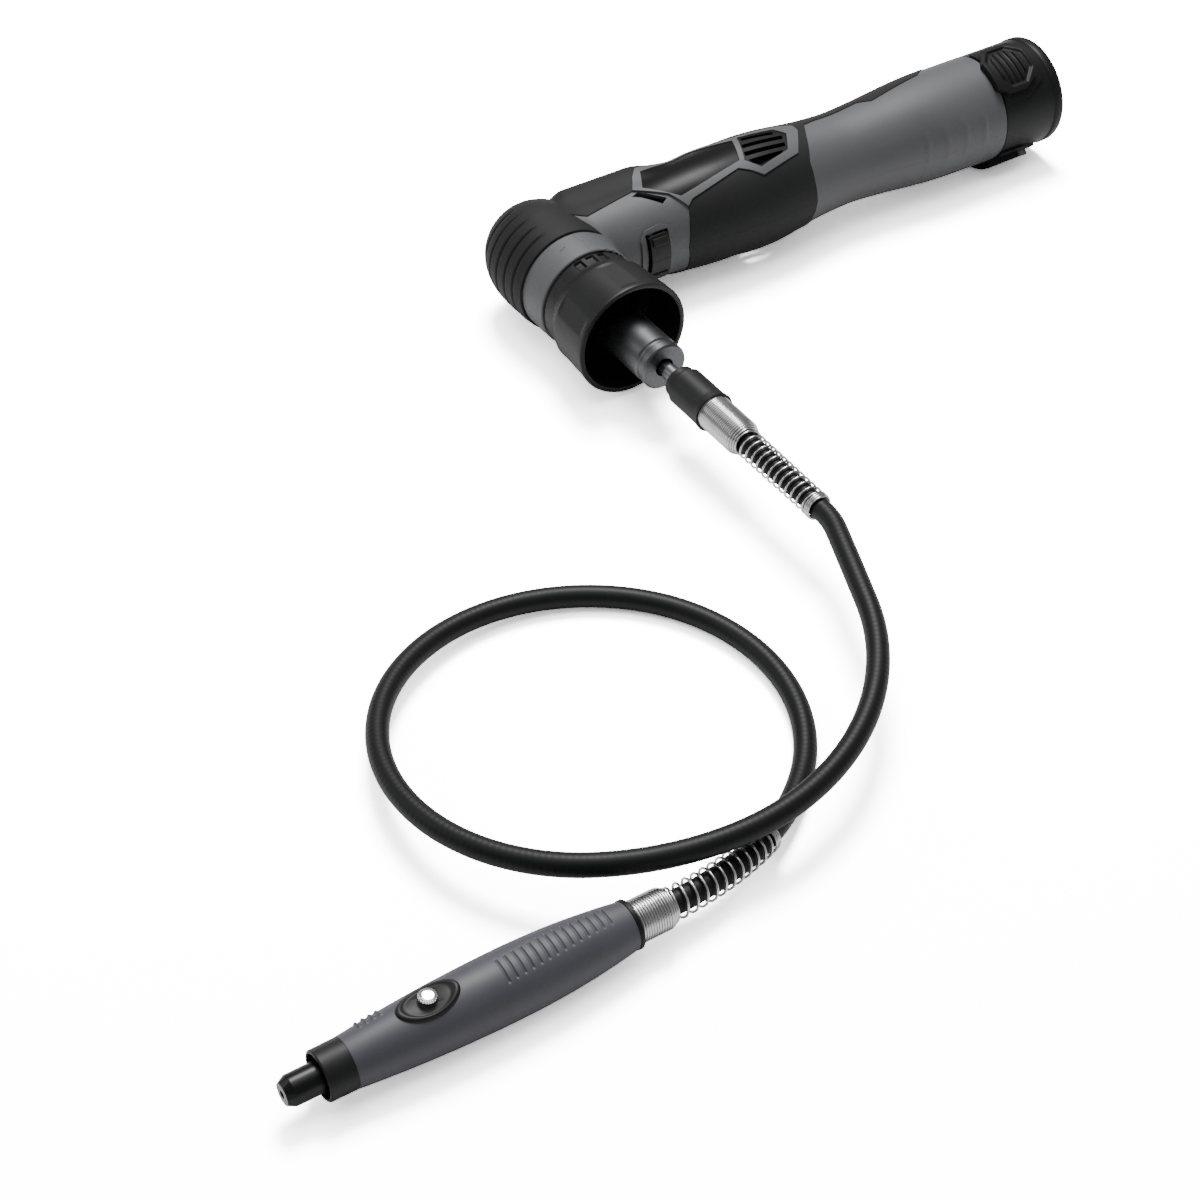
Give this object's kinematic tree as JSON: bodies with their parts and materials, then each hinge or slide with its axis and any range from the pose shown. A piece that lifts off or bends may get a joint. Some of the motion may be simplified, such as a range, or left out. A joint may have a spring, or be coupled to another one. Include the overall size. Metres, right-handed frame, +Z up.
{
  "type": "rotary tool with flexible shaft",
  "caption": "Cordless right-angle rotary tool lying on its side, driving a coiled flexible shaft that ends in a pencil-shaped handpiece with a lock button.",
  "frame": {"origin": "on the floor, below the middle of the bounding box of the whole set", "axes": "+X along the tool's barrel towards the battery and away from the handpiece's tip, +Y towards the back of the tool's head (the spindle points along -Y), +Z up from the floor"},
  "size_m": [0.6382, 0.4102, 0.064],
  "materials": {
    "housing_grey": "fine moulded texture",
    "handpiece_grey": "fine moulded texture",
    "soft_black": "matte soft overmould",
    "badge_black": "gloss",
    "cup_black": "satin",
    "battery_black": "satin",
    "sheath_black": "smooth extruded",
    "bright_steel": "turned",
    "spring_steel": "drawn wire",
    "chrome_button": "polished",
    "dark_steel": "blackened",
    "gear_steel": "ground",
    "bearing_steel": "ground",
    "cast_alloy": "cast",
    "motor_steel": "zinc plated",
    "magnet_dark": "sintered",
    "rotor_core": "laminated, wound",
    "fan_plastic": "moulded",
    "inner_plastic": "moulded",
    "board_green": "solder mask",
    "component_black": "moulded",
    "contact_brass": "plated",
    "cell_wrap": "heat-shrink sleeve",
    "screw_steel": "zinc plated"
  },
  "bodies": {
    "tool": {"housing_upper": "housing_grey", "housing_lower": "housing_grey", "head_cover": "soft_black", "side_pad_upper": "soft_black", "side_pad_lower": "soft_black", "spine_pad_upper": "soft_black", "spine_pad_lower": "soft_black", "badge_plate_upper": "badge_black", "badge_plate_lower": "badge_black", "housing_screws": "screw_steel", "guard_cup": "cup_black", "gear_case": "cast_alloy", "gear_case_cover": "cast_alloy", "spindle_bearing_front": "bearing_steel", "spindle_bearing_rear": "bearing_steel", "pinion_bearing": "bearing_steel", "motor_bearing_front": "bearing_steel", "motor_bearing_rear": "bearing_steel", "motor_can": "motor_steel", "motor_magnet": "magnet_dark", "trigger_spring": "spring_steel", "switch_unit": "inner_plastic", "control_board": "board_green", "board_components": "component_black", "terminal_block": "inner_plastic", "terminal_blades": "contact_brass"},
    "spindle": {"spindle": "bright_steel", "shaft_adapter": "bright_steel", "ring_gear": "gear_steel"},
    "rotor": {"motor_rotor": "rotor_core", "motor_fan": "fan_plastic", "pinion": "gear_steel"},
    "trigger": {"trigger": "cup_black"},
    "battery": {"battery_case": "battery_black", "battery_end_cap": "battery_black", "battery_cells": "cell_wrap", "battery_board": "inner_plastic", "battery_contacts": "contact_brass", "latch_springs": "spring_steel"},
    "latch_upper": {"battery_latch_upper": "battery_black"},
    "latch_lower": {"battery_latch_lower": "battery_black"},
    "flex_shaft": {"coupling_sleeve": "cup_black", "sleeve_bearing": "bearing_steel", "drive_ferrule": "cast_alloy", "drive_spring": "spring_steel", "sheath": "sheath_black", "inner_core": "bright_steel", "hand_spring": "spring_steel"},
    "shaft_shank": {"drive_shank": "bright_steel"},
    "handpiece": {"hand_grip_upper": "handpiece_grey", "hand_grip_lower": "handpiece_grey", "nose_collar": "cup_black", "hand_ferrule": "cast_alloy", "hand_bearing_front": "bearing_steel", "hand_bearing_rear": "bearing_steel", "tail_ring": "sheath_black", "lock_bezel": "cup_black", "lock_spring": "spring_steel"},
    "output": {"output_spindle": "dark_steel"},
    "lock_button": {"lock_button": "chrome_button"}
  },
  "joints": [
    {"name": "spindle_spin", "type": "hinge", "parent": "tool", "child": "spindle", "pos_m": [0.0191, 0.1734, 0.032], "axis": [0, -1, 0], "continuous": true},
    {"name": "motor_spin", "type": "hinge", "parent": "tool", "child": "rotor", "pos_m": [0.0691, 0.1734, 0.032], "axis": [1, 0, 0], "continuous": true},
    {"name": "trigger_press", "type": "slide", "parent": "tool", "child": "trigger", "axis": [0, 1, 0], "range_m": [0, 0.002], "stiffness_N_per_m": 2000, "springref_m": -0.001, "deforming": ["trigger_spring"]},
    {"name": "battery_slide", "type": "slide", "parent": "tool", "child": "battery", "axis": [1, 0, 0], "range_m": [0, 0.085]},
    {"name": "latch_upper_press", "type": "slide", "parent": "battery", "child": "latch_upper", "axis": [0, 0.342, -0.9397], "range_m": [0, 0.002], "deforming": ["latch_springs"]},
    {"name": "latch_lower_press", "type": "slide", "parent": "battery", "child": "latch_lower", "axis": [0, 0.342, 0.9397], "range_m": [0, 0.002], "deforming": ["latch_springs"]},
    {"name": "shaft_coupler_slide", "type": "slide", "parent": "tool", "child": "flex_shaft", "axis": [0, -1, 0], "range_m": [-0.009, 0.045]},
    {"name": "shank_spin", "type": "hinge", "parent": "flex_shaft", "child": "shaft_shank", "pos_m": [0.0191, 0.0534, 0.032], "axis": [0, -1, 0], "continuous": true},
    {"name": "hand_bend", "type": "hinge", "parent": "flex_shaft", "child": "handpiece", "pos_m": [-0.1259, -0.18599, 0.0115], "axis": [0, 0, 1], "range_deg": [-4, 20], "deforming": ["sheath", "inner_core", "hand_spring"]},
    {"name": "output_spin", "type": "hinge", "parent": "handpiece", "child": "output", "pos_m": [-0.27312, -0.18998, 0.014], "axis": [-1, 0, 0], "continuous": true},
    {"name": "lock_button_press", "type": "slide", "parent": "handpiece", "child": "lock_button", "axis": [0, 0, -1], "range_m": [0, 0.002], "deforming": ["lock_spring"]}
  ],
  "couplings": [
    {"joint": "motor_spin", "follows": "spindle_spin", "ratio": 2},
    {"joint": "shank_spin", "follows": "spindle_spin", "ratio": 1},
    {"joint": "output_spin", "follows": "spindle_spin", "ratio": 1}
  ]
}
